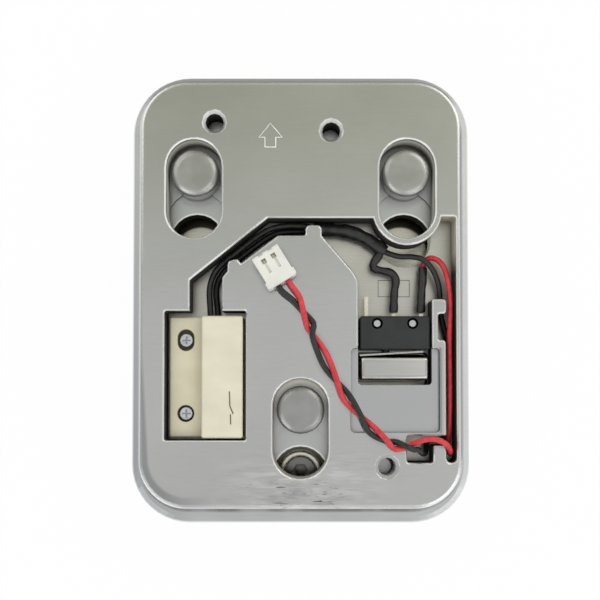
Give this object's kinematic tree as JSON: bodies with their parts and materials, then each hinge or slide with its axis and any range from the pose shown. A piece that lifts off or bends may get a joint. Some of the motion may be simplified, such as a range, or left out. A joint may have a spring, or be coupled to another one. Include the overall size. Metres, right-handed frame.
{
  "type": "pedestrian push button",
  "caption": "Pedestrian push button core: a sprung push plate on headed studs under a machined back plate that carries a reed sensor, a lever switch and their wires.",
  "frame": {"origin": "middle of the push face that it lies on", "axes": "+Y along the arrow on the back plate, +Z out of the back plate, away from the push face, +X to the right when looking at the back with the arrow up"},
  "size_m": [0.064, 0.0848, 0.026],
  "materials": {
    "plate_metal": "brushed, clear finish",
    "turned_steel": "turned",
    "spring_steel": "drawn wire",
    "magnet_metal": "nickel plated",
    "cream_plastic": "moulded",
    "reed_glass": "clear, sealed tube",
    "black_plastic": "moulded",
    "contact_metal": "plated",
    "black_insulation": "satin",
    "red_insulation": "satin",
    "white_nylon": "moulded"
  },
  "bodies": {
    "base": {"back_plate": "plate_metal", "base_plate": "plate_metal", "upper_left_plate_screw": "turned_steel", "upper_right_plate_screw": "turned_steel", "lower_left_plate_screw": "turned_steel", "lower_right_plate_screw": "turned_steel", "upper_sensor_screw": "turned_steel", "lower_sensor_screw": "turned_steel", "left_switch_pin": "turned_steel", "right_switch_pin": "turned_steel", "left_return_spring": "spring_steel", "right_return_spring": "spring_steel", "lower_return_spring": "spring_steel", "reed_sensor_housing": "cream_plastic", "reed_capsule": "reed_glass", "switch_case": "black_plastic", "switch_cover": "black_plastic", "open_terminal": "contact_metal", "closed_terminal": "contact_metal", "common_terminal": "contact_metal", "left_connector_contact": "contact_metal", "right_connector_contact": "contact_metal", "upper_reed_lead": "black_insulation", "lower_reed_lead": "black_insulation", "splice_sleeve": "black_insulation", "closed_terminal_sleeve": "black_insulation", "common_terminal_sleeve": "black_insulation", "black_channel_wire": "black_insulation", "black_free_wire": "black_insulation", "red_channel_wire": "red_insulation", "red_free_wire": "red_insulation", "connector_housing": "white_nylon"},
    "push": {"push_plate": "plate_metal", "left_stud": "turned_steel", "right_stud": "turned_steel", "lower_stud": "turned_steel", "actuator_block": "plate_metal", "sensor_magnet": "magnet_metal", "lock_bush": "turned_steel", "lock_screw": "turned_steel"},
    "lever": {"switch_lever": "turned_steel"},
    "plunger": {"switch_plunger": "black_plastic", "contact_blade": "contact_metal"}
  },
  "joints": [
    {"name": "press", "type": "slide", "parent": "base", "child": "push", "axis": [0, 0, 1], "range_m": [0, 0.002], "stiffness_N_per_m": 3000, "springref_m": -0.0027, "deforming": ["left_return_spring", "right_return_spring", "lower_return_spring"]},
    {"name": "lever_swing", "type": "hinge", "parent": "base", "child": "lever", "pos_m": [0.0224, -0.0106, 0.0182], "axis": [0, 0, -1], "range_deg": [0, 3.2]},
    {"name": "plunger_slide", "type": "slide", "parent": "base", "child": "plunger", "axis": [0, 1, 0], "range_m": [0, 0.00032]}
  ],
  "couplings": [
    {"joint": "lever_swing", "follows": "press", "rad_per_m": 27.083},
    {"joint": "plunger_slide", "follows": "press", "ratio": 0.15}
  ]
}
